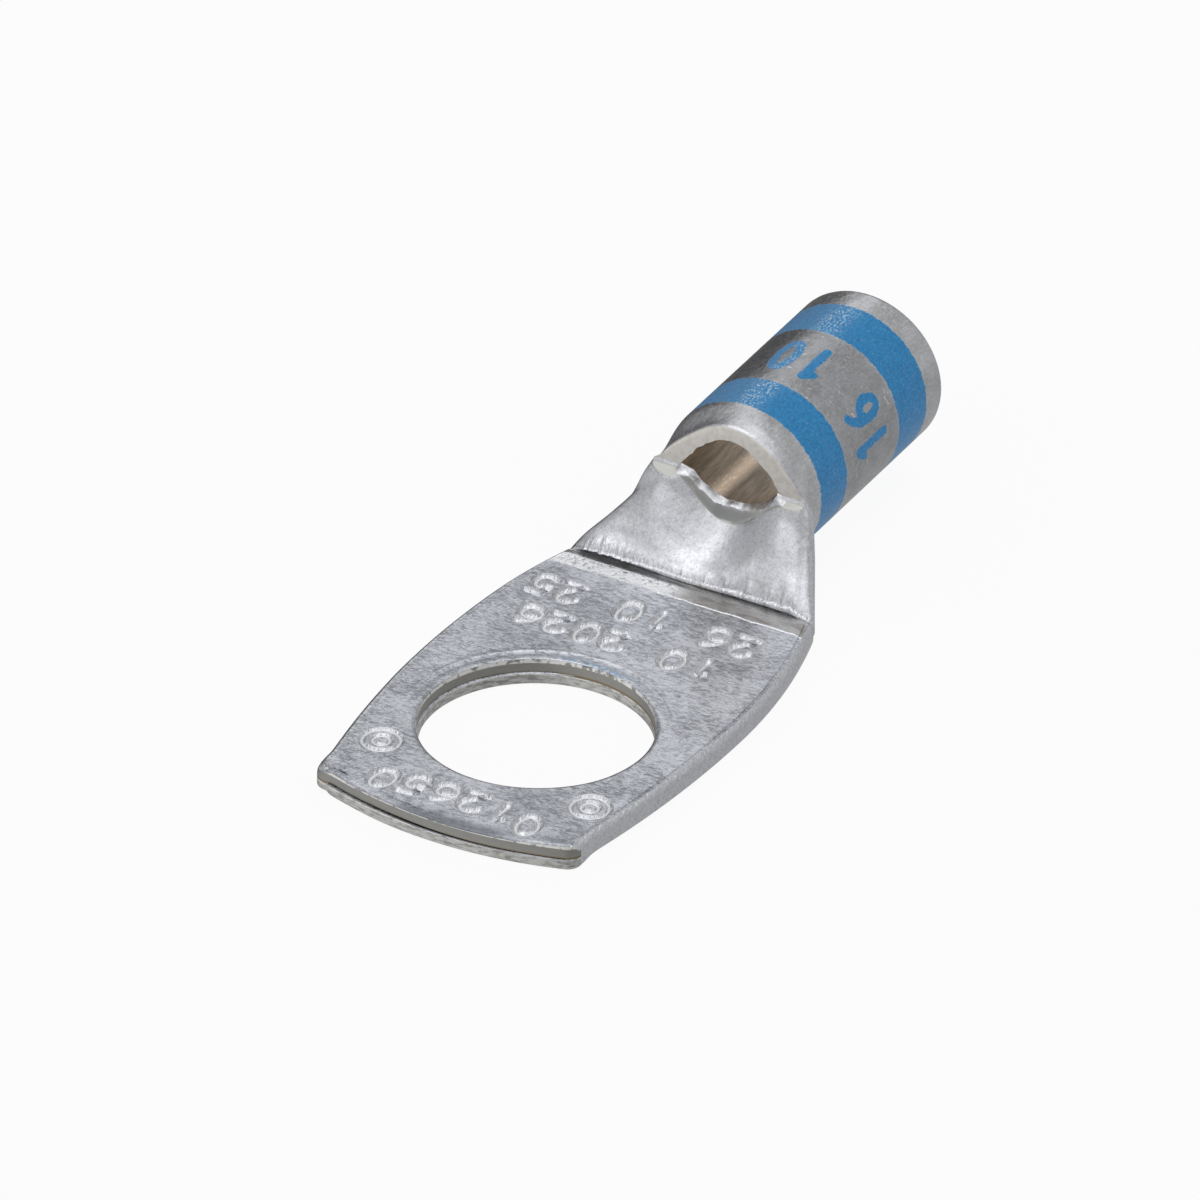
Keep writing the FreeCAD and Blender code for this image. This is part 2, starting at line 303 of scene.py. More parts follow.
def shearedTin():
    material, tree = newMaterial("sheared edge of tinned copper")
    vector, x, y, z = places(tree)
    drag = noise(tree, vector, 0.20, (2.5, 2.5, 0.7), 0, 3.0, 0.65)
    onUpper = ramp(tree, z, 0.52, 0.64)
    wall = mixColour(tree, onUpper, srgbToLinear(sheared["lower"]), srgbToLinear(sheared["upper"]))
    colour = mixColour(tree, ramp(tree, drag, 0.30, 0.60), srgbToLinear(sheared["dark"]), wall)
    colour = mixColour(tree, ramp(tree, z, 1.5, 2.0), colour, srgbToLinear(sheared["lip"]))
    # Painted highlights: pale lines along the top edge and the lower wall's edge, broken into patches.
    topEdge = product(tree, ramp(tree, z, 1.02, 1.06), ramp(tree, z, 1.25, 1.30, 1.0, 0.0))
    lowEdge = ramp(tree, distance(tree, z, pad["seamHeight"] - 0.07), 0.02, 0.05, 1.0, 0.0)
    patchiness = ramp(tree, noise(tree, vector, 0.35, detail=4.0), 0.38, 0.52)
    edgeHighlights = product(tree, doMath(tree, "MAXIMUM", topEdge, lowEdge), patchiness)
    colour = mixColour(tree, edgeHighlights, colour, srgbToLinear(sheared["edge"]))
    onSeam = ramp(tree, distance(tree, z, pad["seamHeight"]), 0.03, 0.08, 0.8, 0.0)
    colour = mixColour(tree, onSeam, colour, srgbToLinear(sheared["seam"]))
    normal = bump(tree, drag, 0.008)
    finish(tree, Base_Color=colour, Metallic=1.0, Roughness=sheared["roughness"], Normal=normal)
    return material


# Sawn faces of the sight window: pale, dry metal with the saw's fine scratches.
sawn = dict(colour="#F0ECE5", dark="#E4DFD7", roughness=0.5)


def sawnTin():
    material, tree = newMaterial("sawn tinned copper")
    vector = places(tree)[0]
    mottle = ramp(tree, noise(tree, vector, 0.3, detail=3.0), 0.35, 0.6)
    colour = mixColour(tree, mottle, srgbToLinear(sawn["dark"]), srgbToLinear(sawn["colour"]))
    normal = bump(tree, noise(tree, vector, 0.14, (1, 3, 1), 0, 3.0), 0.006)
    finish(tree, Base_Color=colour, Metallic=0.8, Roughness=sawn["roughness"], Normal=normal)
    return material


# Inside of the tube: bare drawn copper gone dull, with a warm painted highlight streak that glows of its own
# and painted glints of small bright grains in it.
copper = dict(colour="#DAD0C4", dark="#B5ACA1", gleam="#FFE9D2", gleamLight=0.38, gleamY=2.1, gleamWidth=0.4,
              roughness=0.27)


def bareCopper():
    material, tree = newMaterial("bare drawn copper")
    vector, x, y, z = places(tree)
    drawn = noise(tree, vector, 0.18, (8, 1, 1), 0, 3.0)
    grain = noise(tree, vector, 0.10, detail=2.0)
    lines = ramp(tree, drawn, 0.35, 0.65)
    colour = mixColour(tree, lines, srgbToLinear(copper["dark"]), srgbToLinear(copper["colour"]))
    # Painted highlight: a warm streak along the bore, less metallic, that also glows as a painted light.
    gleam = ramp(tree, distance(tree, y, copper["gleamY"]), 0.0, copper["gleamWidth"], 1.0, 0.0)
    colour = mixColour(tree, gleam, colour, srgbToLinear(copper["gleam"]))
    normal = bump(tree, drawn, 0.008)
    normal = bump(tree, grain, 0.010, normal)
    metallic = doMath(tree, "SUBTRACT", 1.0, product(tree, gleam, 0.7))
    # Painted glints: grains in the streak glow brighter.
    spark = ramp(tree, grain, 0.55, 0.68, 0.75, 1.6)
    light = product(tree, gleam, spark, copper["gleamLight"])
    finish(tree, Base_Color=colour, Metallic=metallic, Roughness=copper["roughness"], Normal=normal,
           Emission_Color=srgbToLinear(copper["gleam"]), Emission_Strength=light)
    return material


# A grid of points becomes a closed mesh: each row is a loop, and each row joins the next. The end rows are
# closed by a fan to their middle, or the last row joins the first.
def putMesh(name, grid, material, ring=False):
    rows, columns = grid.shape[:2]
    points = grid.reshape(-1, 3)
    index = np.arange(rows * columns).reshape(rows, columns)
    first = index if ring else index[:-1]
    second = np.roll(index, -1, axis=0) if ring else index[1:]
    quads = np.stack([first, np.roll(first, -1, 1), np.roll(second, -1, 1), second], -1).reshape(-1, 4)
    faces = quads.tolist()
    if not ring:
        middles = np.array([grid[0].mean(0), grid[-1].mean(0)])
        points = np.concatenate([points, middles])
        start, end = index[0], index[-1]
        startFan = np.stack([np.roll(start, -1), start, np.full(columns, rows * columns)], -1)
        endFan = np.stack([end, np.roll(end, -1), np.full(columns, rows * columns + 1)], -1)
        faces += startFan.tolist() + endFan.tolist()
    mesh = bpy.data.meshes.new(name)
    mesh.from_pydata((points * mm).tolist(), [], faces)
    mesh.materials.append(material)
    if signedVolume(mesh) < 0:
        mesh.flip_normals()
    piece = bpy.data.objects.new(name, mesh)
    bpy.context.scene.collection.objects.link(piece)
    return piece


def signedVolume(mesh):  # the sum of the tetrahedra from the origin to each triangle
    mesh.calc_loop_triangles()
    corners = np.empty(len(mesh.loop_triangles) * 3, int)
    mesh.loop_triangles.foreach_get("vertices", corners)
    spots = np.empty(len(mesh.vertices) * 3)
    mesh.vertices.foreach_get("co", spots)
    a, b, c = spots.reshape(-1, 3)[corners].reshape(-1, 3, 3).transpose(1, 0, 2)
    return float((np.cross(a, b) * c).sum() / 6)


def joinOrCut(body, others, operation):  # one Boolean step for each of the others, which are used up
    for other in others:
        step = body.modifiers.new("step", "BOOLEAN")
        step.operation = operation
        step.solver = "MANIFOLD"
        step.material_mode = "TRANSFER"
        step.object = other
        graph = bpy.context.evaluated_depsgraph_get()
        mesh = bpy.data.meshes.new_from_object(body.evaluated_get(graph))
        body.modifiers.clear()
        body.data = mesh
        bpy.data.objects.remove(other)


# The pad. Pairs are the right side (-Y) and the left side (+Y).
pad = dict(
    holeRadius=5.15, coinedRadius=6.16, thickness=1.24, halfWidth=7.6, widestX=4.5, tipX=-9.05,
    tipRadius=18.5, cornerY=6.55, cornerRadius=(0.75, 0.55), slack=(0.0, 0.12), earStartX=-6.6,
    creaseX=13.4, creaseInset=1.35,
    buried=1.3, foldRadius=0.40, foldLine=0.045, earRound=0.17, shearedRadius=0.11, shearedY=(6.3, 5.6),
    setBack=0.10, seamSlope=0.006, seamHeight=0.58, seamGap=0.06, seamDepth=0.12, tipDrop=0.10, earDrop=0.16,
    columns=500,
)


def arcBulge(run, drop, away):  # how far an arc falls away from its top at this distance along it
    radius = (run * run + drop * drop) / (2 * drop)
    return radius - np.sqrt(radius * radius - away * away)


# Half of the pad's outline from the tip's middle to the neck's middle: the tip's arc, the corner's fillet,
# the side as a function of x with a flare at the ear, then the end that the neck covers.
def halfOutline(cornerRadius, slack):
    centreX = pad["tipX"] + pad["tipRadius"]
    filletY = pad["cornerY"] - cornerRadius
    filletX = centreX - np.sqrt((pad["tipRadius"] - cornerRadius) ** 2 - filletY ** 2)
    turn = np.arctan2(filletY, centreX - filletX)
    tipAngle = np.linspace(0, turn, 120)
    tip = np.stack([centreX - pad["tipRadius"] * np.cos(tipAngle), pad["tipRadius"] * np.sin(tipAngle)], 1)
    filletAngle = np.linspace(turn, np.pi / 2, 30)
    fillet = np.stack([filletX - cornerRadius * np.cos(filletAngle),
                       filletY + cornerRadius * np.sin(filletAngle)], 1)
    x = np.linspace(filletX, pad["creaseX"], 500)
    widestX = pad["widestX"]
    tipSide = arcBulge(widestX - pad["earStartX"], pad["halfWidth"] - pad["cornerY"], widestX - x)
    neckSide = arcBulge(pad["creaseX"] - widestX, pad["creaseInset"], x - widestX)
    y = pad["halfWidth"] - np.where(x < widestX, tipSide, neckSide)
    y += (pad["cornerY"] - y[0]) * hill(x, filletX, 0.7) - slack * hill(x, 6.5, 4.0)
    side = np.stack([x, y], 1)
    endX, endY = pad["creaseX"] + pad["buried"], y[-1] - pad["buried"]
    back = np.array([[endX, endY], [endX, 0.5 * endY], [endX, 0.0]])
    return np.concatenate([tip[:-1], fillet[:-1], side, back])


def padOutline():  # evenly spaced points round the pad and their outward directions
    right, left = (halfOutline(*side) for side in zip(pad["cornerRadius"], pad["slack"]))
    whole = np.concatenate([left, right[-2:0:-1] * [1, -1]])
    closed = np.concatenate([whole, whole[:1]])
    length = np.concatenate([[0], np.hypot(*np.diff(closed, axis=0).T).cumsum()])
    even = np.linspace(0, length[-1], pad["columns"], endpoint=False)
    points = np.stack([np.interp(even, length, closed[:, 0]), np.interp(even, length, closed[:, 1])], 1)
    along = np.roll(points, -1, 0) - np.roll(points, 1, 0)
    along /= np.hypot(*along.T)[:, None]
    outward = np.stack([along[:, 1], -along[:, 0]], 1)
    outward *= np.sign((outward * points).sum(1).mean())
    return points, outward


# Profile of the pad carried round the hole. Each part of it is rows of (place, height): the hole's wall, the
# rim, the top, the outer edge, the underside. Places near the hole are radii, places near the outline are
# depths inward from it, and those between are shares of the way from the rim to the outline.
def padGrid():
    outline, outward = padOutline()
    reach = np.hypot(*outline.T)
    away = outline / reach[:, None]
    top = pad["thickness"]
    count = len(outline)
    rows = []

    def atRadius(radius, height):
        radius = np.broadcast_to(radius, count)
        rows.append(np.stack([away[:, 0] * radius, away[:, 1] * radius, np.broadcast_to(height, count)], 1))

    def atDepth(depth, height):
        place = outline - outward * np.broadcast_to(depth, count)[:, None]
        rows.append(np.stack([place[:, 0], place[:, 1], np.broadcast_to(height, count)], 1))

    holeProfile(np.degrees(np.arctan2(away[:, 1], away[:, 0])), atRadius)
    inner = away * pad["coinedRadius"]
    outer = outline - outward * foldRadius(outline)[:, None]
    for share in np.linspace(0, 1, 20):
        place = inner + (outer - inner) * share
        rows.append(np.stack([place[:, 0], place[:, 1], np.full(count, top)], 1))

    depth, height = outerEdge(outline)
    for row in range(depth.shape[0]):
        atDepth(depth[row], height[row])
    for share in np.linspace(0, 1, 6)[1:-1]:
        place = outer + (away * (pad["holeRadius"] + 0.2) - outer) * share
        rows.append(np.stack([place[:, 0], place[:, 1], np.zeros(count)], 1))
    grid = np.stack(rows)

    x, y, z = grid[..., 0], grid[..., 1], grid[..., 2]
    isTop = smoothStep(1.0, 1.2, z)
    z += isTop * 0.012 * roughField(x + 30, y + 30, 5, 1.7)
    z -= isTop * pad["tipDrop"] * smoothStep(-8.0, -9.0, x)
    z -= isTop * pad["earDrop"] * hill(np.hypot(x + 8.0, y - 6.75), 0.0, 0.55)
    hidden = smoothStep(pad["creaseX"] + 0.1, pad["creaseX"] + 0.4, x)
    grid[..., 2] = z * (1 - hidden) + (0.06 + 0.83 * z) * hidden
    return grid


# The punched hole, from the underside up its wall to the top. The punch left a crisp edge and a coined ring
# on the side towards the neck, and rolled the edge over on the side towards the tip. The lower wall of the
# flattened tube stands a little further in than the upper one.
def holeProfile(angle, atRadius):
    hole, top, seam = pad["holeRadius"], pad["thickness"], pad["seamHeight"]
    turn = np.radians(angle)
    crisp = 1.3 * smoothStep(0.0, 0.75, np.cos(turn - np.radians(22)))
    step = smoothStep(-0.1, 0.6, np.cos(turn - np.radians(95)))
    upper = hole + 0.02 + 0.05 * step
    for out, height in [(0.10, 0.0), (0.03, 0.02), (0.0, 0.09), (0.0, 0.3), (0.0, seam - 0.05)]:
        atRadius(hole + out, height)
    atRadius(hole + 0.01 + 0.03 * step, seam - 0.02)
    atRadius(hole + 0.01 + 0.10 * step, seam + 0.0)
    atRadius(upper, seam + 0.03)
    atRadius(upper, seam + 0.08)
    roll = 0.07 + 0.20 * np.clip(1 - crisp, 0, 1)
    for share in (0.0, 0.5):
        atRadius(upper, seam + 0.1 + (top - roll - seam - 0.1) * share)
    for turnUp in np.linspace(0, np.pi / 2, 7):
        atRadius(upper + roll * (1 - np.cos(turnUp)), top - roll + roll * np.sin(turnUp) + 0.02 * crisp)
    for radius, height in [(5.48, 0.015), (5.60, -0.005), (5.72, -0.022), (5.80, -0.030), (5.85, -0.026),
                           (5.88, 0.0), (5.91, 0.014), (5.96, 0.016), (6.03, 0.012), (6.10, 0.004)]:
        atRadius(np.maximum(radius, upper + roll + 0.02), top + height * crisp)


def foldRadius(outline):  # rounding of the folded sides, larger at the two corners
    x, y = outline.T
    left, right = hill(np.hypot(x + 7.9, y - 6.9), 0, 0.7), hill(np.hypot(x + 7.8, y + 6.6), 0, 0.8)
    return pad["foldRadius"] + pad["earRound"] * (left + right)


# The outer edge, from the top face over and down to the underside. A fold is a rounded, slightly bulged side.
# A sheared edge shows the cut ends of the two walls with the seam's groove between, the upper one set back.
def outerEdge(outline):
    top, edge = pad["thickness"], foldRadius(outline)
    x, y = outline.T
    gap, deep = pad["seamGap"], pad["seamDepth"] * (1 - 0.6 * smoothStep(-3, 3, y))
    lip = pad["shearedRadius"] + 0.09 * smoothStep(2, 5, y)
    limit = np.where(y > 0, pad["shearedY"][1], pad["shearedY"][0])
    isSheared = smoothStep(limit + 0.3, limit, np.abs(y)) * (x < -5)
    groove = smoothStep(6.2, 5.9, np.abs(y))
    setBack = pad["setBack"] * smoothStep(-3, 3, y)
    seam = pad["seamHeight"] + pad["seamSlope"] * y
    quarter = np.linspace(0, np.pi / 2, 7)[1:, None]
    upperRound, lowerRound = 1 - np.sin(quarter), 1 - np.cos(quarter)
    line = pad["foldLine"]
    ledge = np.stack([edge + 0.01, edge - 0.02, edge - 0.05])
    ledgeHeight = np.array([[top], [top - line], [top - line]]) + 0 * x
    under = pad["foldRadius"] - 1.5 * (edge - pad["foldRadius"])
    upright = np.zeros((9, len(x)))
    foldDepth = np.concatenate([ledge, (edge - 0.08) * upperRound, upright, under * lowerRound]) + 0 * x
    straight = np.linspace(top - edge, under, 11)[1:-1]
    shoulder = top - 0.4 * line - (edge - 0.4 * line) * lowerRound
    foldHeight = np.concatenate([ledgeHeight, shoulder, straight, under * upperRound]) + 0 * x
    upper, lower = seam + gap / 2, seam - gap / 2
    inside = setBack + 0.02 + deep * groove
    outside = 0.0 * x
    shearDepth = np.stack([setBack, setBack, setBack + 0.01, inside, inside, inside, outside + 0.03, outside,
                           outside])
    start = np.stack([edge, 0.8 * edge, 0.6 * edge]) + setBack
    shearDepth = np.concatenate([start, setBack + lip * upperRound, shearDepth, outside + lip * lowerRound])
    shearHeight = np.stack([0.5 * (top - lip + upper), upper + 0.05, upper, upper - 0.01, seam, lower + 0.01,
                            lower, lower - 0.04, 0.5 * (lower + lip)])
    flat = np.full((3, len(x)), top)
    upperEdge, lowerEdge = top - lip * lowerRound + 0 * x, lip * upperRound + 0 * x
    shearHeight = np.concatenate([flat, upperEdge, shearHeight, lowerEdge])
    depth = foldDepth * (1 - isSheared) + shearDepth * isSheared
    height = foldHeight * (1 - isSheared) + shearHeight * isSheared
    return depth, height


# The neck and the barrel: one skin. A bead is (x, y, rise), a groove (place, width, depth) with the first two
# as shares of the half width, a dent (x, y, its two widths, depth).
neck = dict(
    creaseX=13.42, windowX=16.55, frontHeight=1.60, frontDip=0.28, frontLead=0.22, halfWidth=6.30,
    narrowing=0.575, tuck=0.5, shoulderTop=6.2, shoulderSpan=3.4, squareAtCrease=2.8, squareAtWindow=2.1,
    squareAtSaw=0.9, sawFloorHeight=5.05, sawFloorSlope=0.466, lipX=16.12, lipLow=4.05, lipCurve=0.185,
    lipLeftCurve=0.215, lipSlope=0.55, valleyFoot=3.42, valleyY=-0.4, roll=0.16, burrX=16.46, burr=0.10,
    hairs=0.045, lumps=0.12, beadWidth=0.13, beads=((16.37, 2.2, 0.13), (16.39, -2.6, 0.13)),
    grooves=((-0.71, 0.045, 0.05), (-0.88, 0.045, 0.09)),
    dents=((15.5, 1.95, 0.40, 0.40, 0.05), (14.08, 3.8, 0.14, 0.9, 0.07)),
)
barrel = dict(
    radius=3.83, bore=2.88, endX=29.32, axisHeight=4.07, axisX=16.6, slope=np.tan(np.radians(1.2)),
    mouthRadius=0.3, chamfer=0.3, columns=300,
)


def axisZ(x):  # height of the barrel's axis
    return barrel["axisHeight"] + (x - barrel["axisX"]) * barrel["slope"]


def neckHalfWidth(x):
    return neck["halfWidth"] - neck["narrowing"] * (x - neck["creaseX"])


def sawFloor(x):  # height of the saw cut's tipped floor
    return neck["sawFloorHeight"] - neck["sawFloorSlope"] * (neck["windowX"] - x)


def lipTop(x, y):  # top of the wall's edge under the window, ragged from the saw
    offset = y - neck["valleyY"]
    curve = np.where(offset > 0, neck["lipLeftCurve"], neck["lipCurve"])
    height = neck["lipLow"] + curve * offset ** 2 - neck["lipSlope"] * (neck["windowX"] - 0.05 - x)
    return height + 0.012 * roughLine(y, 3, 0.35) + 0.02 * roughField(x * 2 + 50, y * 2 + 50, 21, 0.7)


# Top of the neck: shoulders that rise to the window with a valley pressed between them, with lumps, grooves
# and dents, and the wall's edge standing up as a lip before the window.
def neckTop(x, y):
    share = (x - neck["creaseX"]) / (neck["windowX"] - neck["creaseX"])
    front = neck["frontHeight"] - neck["frontDip"] * smoothStep(5.7, 2.8, np.abs(y))
    shoulder = front + (neck["shoulderTop"] - front) * share
    dip = (neck["shoulderTop"] - neck["valleyFoot"]) * share
    across = np.clip(np.abs(y - neck["valleyY"] * np.clip(share, 0, 1)) / neck["shoulderSpan"], 0, 1)
    height = shoulder - dip * (1 - across ** 2) ** 2
    lumps = neck["lumps"] * roughField(x + 9, y + 20, 11, 1.5) + 0.02 * roughField(x + 9, y + 20, 12, 0.55)
    height = height + neck["roll"] * smoothStep(0.0, 0.12, share) * smoothStep(0.42, 0.16, share)
    for place, width, depth in neck["grooves"]:
        height = height - depth * hill(y / neckHalfWidth(x), place, width)
    for placeX, placeY, widthX, widthY, depth in neck["dents"]:
        height = height - depth * hill(x, placeX, widthX) * hill(y, placeY, widthY)
    height = height + lumps * smoothStep(0, 0.15, share)
    lip = np.minimum(lipTop(x, y), sawFloor(x) + 0.01)
    lipX = neck["lipX"] + 0.025 * roughLine(y, 4, 0.35)
    rise = smoothStep(lipX - 0.03, lipX + 0.05, x) * smoothStep(3.2, 2.9, np.abs(y - neck["valleyY"]))
    return np.where(rise > 0, height + (np.maximum(lip, height) - height) * rise, height)


# Sections of the neck: squared ellipses under neckTop, cut by the saw's tipped floor with its burr and beads.
# turn is 0 at the top and grows towards +Y.
def neckLoops(x, turn):
    x = np.minimum(x, 17.9)
    along = x - neck["creaseX"]
    share = along / (neck["windowX"] - neck["creaseX"])
    tuck = neck["tuck"] * smoothStep(13.9, 16.0, x) * smoothStep(0, 0.6, np.sin(turn))
    halfWidth = neckHalfWidth(x) - tuck
    fold = np.minimum(0.62 + 0.60 * along + 0.07 * along ** 2, axisZ(x))
    square = neck["squareAtCrease"] + (neck["squareAtWindow"] - neck["squareAtCrease"]) * np.clip(share, 0, 1)
    square += neck["squareAtSaw"] * smoothStep(0.70, 0.92, share)
    y = halfWidth * np.sin(turn)
    reach = np.clip(1 - np.abs(np.sin(turn)) ** square, 0, 1) ** (1 / square)
    under = np.maximum(-0.25 + 0.33 * share ** 3, 0.002 - 0.25 * (reach < 0.5))
    above = fold + (neckTop(x, y) - fold) * reach
    cut = smoothStep(-0.03, 0.05, above - sawFloor(x)) * smoothStep(2.0, 2.4, np.abs(y - neck["valleyY"]))
    above = softMin(above, sawFloor(x), 0.04) + cut * neck["burr"] * hill(x, neck["burrX"], 0.07)
    for beadX, beadY, rise in neck["beads"]:
        above = above + rise * hill(np.hypot(x - beadX, y - beadY), 0, neck["beadWidth"])
    below = np.maximum(fold + (under - fold) * reach, 0.003)
    z = np.where(np.cos(turn) > 0, above, below)
    return np.stack(np.broadcast_arrays(x, y, z), -1)


# Sections of the barrel: circles, squashed beside the window on one side, flared where the folds run out.
def barrelLoops(x, turn, radius):
    angle = np.degrees(np.arctan2(np.sin(turn), np.cos(turn)))
    squash = -0.50 * hill(angle, 40, 34) + 0.16 * hill(angle, -80, 16)
    flare = 0.42 * hill(np.abs(angle), 104, 20) * smoothStep(17.9, 16.3, x)
    size = radius + squash * smoothStep(18.3, 16.5, x) + flare
    y = size * np.sin(turn)
    z = axisZ(x) + size * np.cos(turn)
    lean = smoothStep(18, 22, x) * barrel["slope"]
    return np.stack(np.broadcast_arrays(x - (z - axisZ(x)) * lean, y, z), -1)


def skinLoops(x, turn, radius, onBarrel):  # above the window line neck or barrel, below it a blend of both
    low = neckLoops(x + 0 * turn, turn)
    low[..., 0] = x
    high = barrelLoops(x + 0 * turn, turn, radius)
    side = smoothStep(75, 95, np.degrees(np.abs(turn)))
    share = onBarrel + (smoothStep(15.8, 17.7, x) - onBarrel) * side
    return low + (high - low) * share[..., None]


# Ragged burrs where the neck's front meets the pad: a rough line, further out at one side.
def addHairs(loops, turn, weight):
    y = loops[..., 1]
    ragged = neck["hairs"] * roughLine(y, 8, 0.16) - neck["frontLead"] * smoothStep(0.5, 4.6, y)
    loops[..., 0] += ragged * weight * (np.cos(turn) > 0) * smoothStep(6.1, 5.0, np.abs(y))
    return loops


# The whole skin: the neck, the window's face and the barrel.
def skinGrid():
    turn = np.linspace(-np.pi, np.pi, barrel["columns"], endpoint=False)[None, :]
    front = np.array([(0.20, 0.45), (0.09, 0.66), (0.02, 0.74), (-0.03, 0.79), (-0.05, 0.84), (-0.04, 0.89),
                      (0.0, 0.94), (0.06, 0.98)])[:, :, None]
    offset, size = front[:, 0], front[:, 1]
    cap = neckLoops(np.full_like(offset, neck["creaseX"] + 0.15) + 0 * turn, turn)
    cap[..., 0] = neck["creaseX"] + offset
    cap[..., 1] *= 0.985 + 0.015 * size
    cap[..., 2] = 0.5 + (cap[..., 2] - 0.5) * size
    cap = addHairs(cap, turn, smoothStep(0.8, 0.95, size))

    runs = [np.linspace(13.57, 15.95, 42), np.linspace(15.98, 16.26, 15), np.linspace(16.29, 16.55, 7)]
    x = np.concatenate(runs)[:, None]
    neckPart = addHairs(skinLoops(x, turn, barrel["radius"], 0.0), turn, smoothStep(14.0, 13.5, x))

    edge = np.array([(16.555, 0.14), (16.57, 0.09), (16.60, 0.05), (16.65, 0.02), (16.72, 0.0)])
    runs = [np.linspace(16.8, 18.4, 18), np.linspace(18.7, 20.5, 6), np.arange(20.65, 25.1, 0.15)]
    straight = np.concatenate(runs + [[25.5, 26.5, 27.5, 28.4]])
    x = np.concatenate([edge[:, 0], straight])[:, None]
    isUpper = smoothStep(110, 80, np.degrees(np.abs(turn)))
    bevel = np.concatenate([edge[:, 1], 0 * straight])[:, None] * isUpper
    taper = 0.05 * smoothStep(17.9, 16.7, x) * isUpper
    taper = taper + 0.17 * smoothStep(17.6, 16.5, x) ** 2 * hill(np.degrees(turn), -36, 30)
    barrelPart = skinLoops(x, turn, barrel["radius"] - bevel - taper, 1.0)

    between = np.linspace(0, 1, 6)[1:-1, None, None]
    face = neckPart[-1] + (barrelPart[0] - neckPart[-1]) * between
    rough = 0.004 * roughField(face[..., 1] + 20, face[..., 2] + 20, 31, 0.4)
    face[..., 0] += rough * smoothStep(95, 75, np.degrees(np.abs(turn)))

    rim = np.linspace(0, np.pi / 2, 7)[:, None]
    rolled = barrel["mouthRadius"]
    x = barrel["endX"] - rolled + rolled * np.sin(rim)
    mouth = barrelLoops(x + 0 * turn, turn, barrel["radius"] - rolled * (1 - np.cos(rim)))
    inside = barrelLoops(np.full((1, 1), barrel["endX"]) + 0 * turn, turn, barrel["bore"] - 0.5)
    return np.concatenate([cap, neckPart, face, barrelPart, mouth, inside])


# Bore: rings about the tilted axis, ragged and squashed at the window, flared at the mouth.
def boreGrid():
    turn = np.linspace(-np.pi, np.pi, 240, endpoint=False)[None, :]
    angle = np.degrees(turn)
    end = barrel["endX"]
    x = np.concatenate([[16.5], 16.53 + 0.05 * np.arange(12), np.linspace(17.4, end - barrel["chamfer"], 12)])
    x = np.concatenate([x, [end + 0.2]])[:, None]
    near = smoothStep(18.0, 16.5, x)
    squash = -0.40 * hill(angle, 52, 36) + 0.12 * hill(angle, -3, 12) - 0.12 * hill(angle, -45, 22)
    ragged = 0.022 * roughLine(np.radians(angle) * 2.9, 13, 0.25) * smoothStep(16.75, 16.5, x)
    radius = barrel["bore"] + squash * near + ragged * smoothStep(120, 80, np.abs(angle))
    radius[-1] += barrel["chamfer"] + 0.2
    y = radius * np.sin(turn)
    z = axisZ(x) + radius * np.cos(turn)
    lean = smoothStep(18, 22, x) * barrel["slope"]
    return np.stack(np.broadcast_arrays(x - (z - axisZ(x)) * lean, y, z), -1)


# Hollow of the neck: flat sections that open from a slit into the bore.
hollow = dict(startX=14.2, openX=16.6, endX=16.95, wall=1.0, low=0.9, foot=1.12, footRise=1.25)


def cavityGrid():
    turn = np.linspace(-np.pi, np.pi, 96, endpoint=False)[None, :]
    x = np.linspace(hollow["startX"], hollow["endX"], 14)[:, None]
    share = np.clip((x - hollow["startX"]) / (hollow["openX"] - hollow["startX"]), 0, 1)
    halfWidth = neckHalfWidth(x) - hollow["wall"]
    low = hollow["low"] + (axisZ(x) - barrel["bore"] - hollow["low"]) * share ** 2
    foot = hollow["foot"] + hollow["footRise"] * share
    y = halfWidth * np.sin(turn) * (1 - 0.35 * share)
    roof = foot + 0.16 * share * (y - neck["valleyY"]) ** 2
    middle = (low + foot) / 2
    goal = np.where(np.cos(turn) > 0, roof, low)
    z = middle + (goal - middle) * np.abs(np.cos(turn)) ** 0.8
    return np.stack(np.broadcast_arrays(x, y, z), -1)


# Plain figures drawn as strokes in a box one unit high: lines and arcs of an ellipse.
def ellipseArc(centreU, centreV, radiusU, radiusV, start, end, count=22):
    angle = np.radians(np.linspace(start, end, count))
    return np.stack([centreU + radiusU * np.cos(angle), centreV + radiusV * np.sin(angle)], 1)


def straightLine(*corners):  # evenly filled line through the corners
    corners = np.array(corners, float)
    stretches = [np.linspace(a, b, 7)[:-1] for a, b in zip(corners[:-1], corners[1:])]
    return np.concatenate(stretches + [corners[-1:]])


figureStrokes = {
    "0": [ellipseArc(0.3, 0.5, 0.29, 0.5, 0, 360, 40)],
    "1": [straightLine((0.10, 0.80), (0.34, 1.0), (0.34, 0.0))],
    "2": [np.concatenate([ellipseArc(0.3, 0.72, 0.28, 0.28, 170, -30),
                          straightLine((0.46, 0.48), (0.03, 0.0), (0.6, 0.0))])],
    "5": [np.concatenate([straightLine((0.55, 1.0), (0.08, 1.0), (0.05, 0.58)),
                          ellipseArc(0.28, 0.31, 0.29, 0.31, 110, -140)])],
    "6": [ellipseArc(0.3, 0.29, 0.29, 0.29, 0, 360, 30), ellipseArc(0.62, 0.32, 0.61, 0.68, 176, 105)],
}
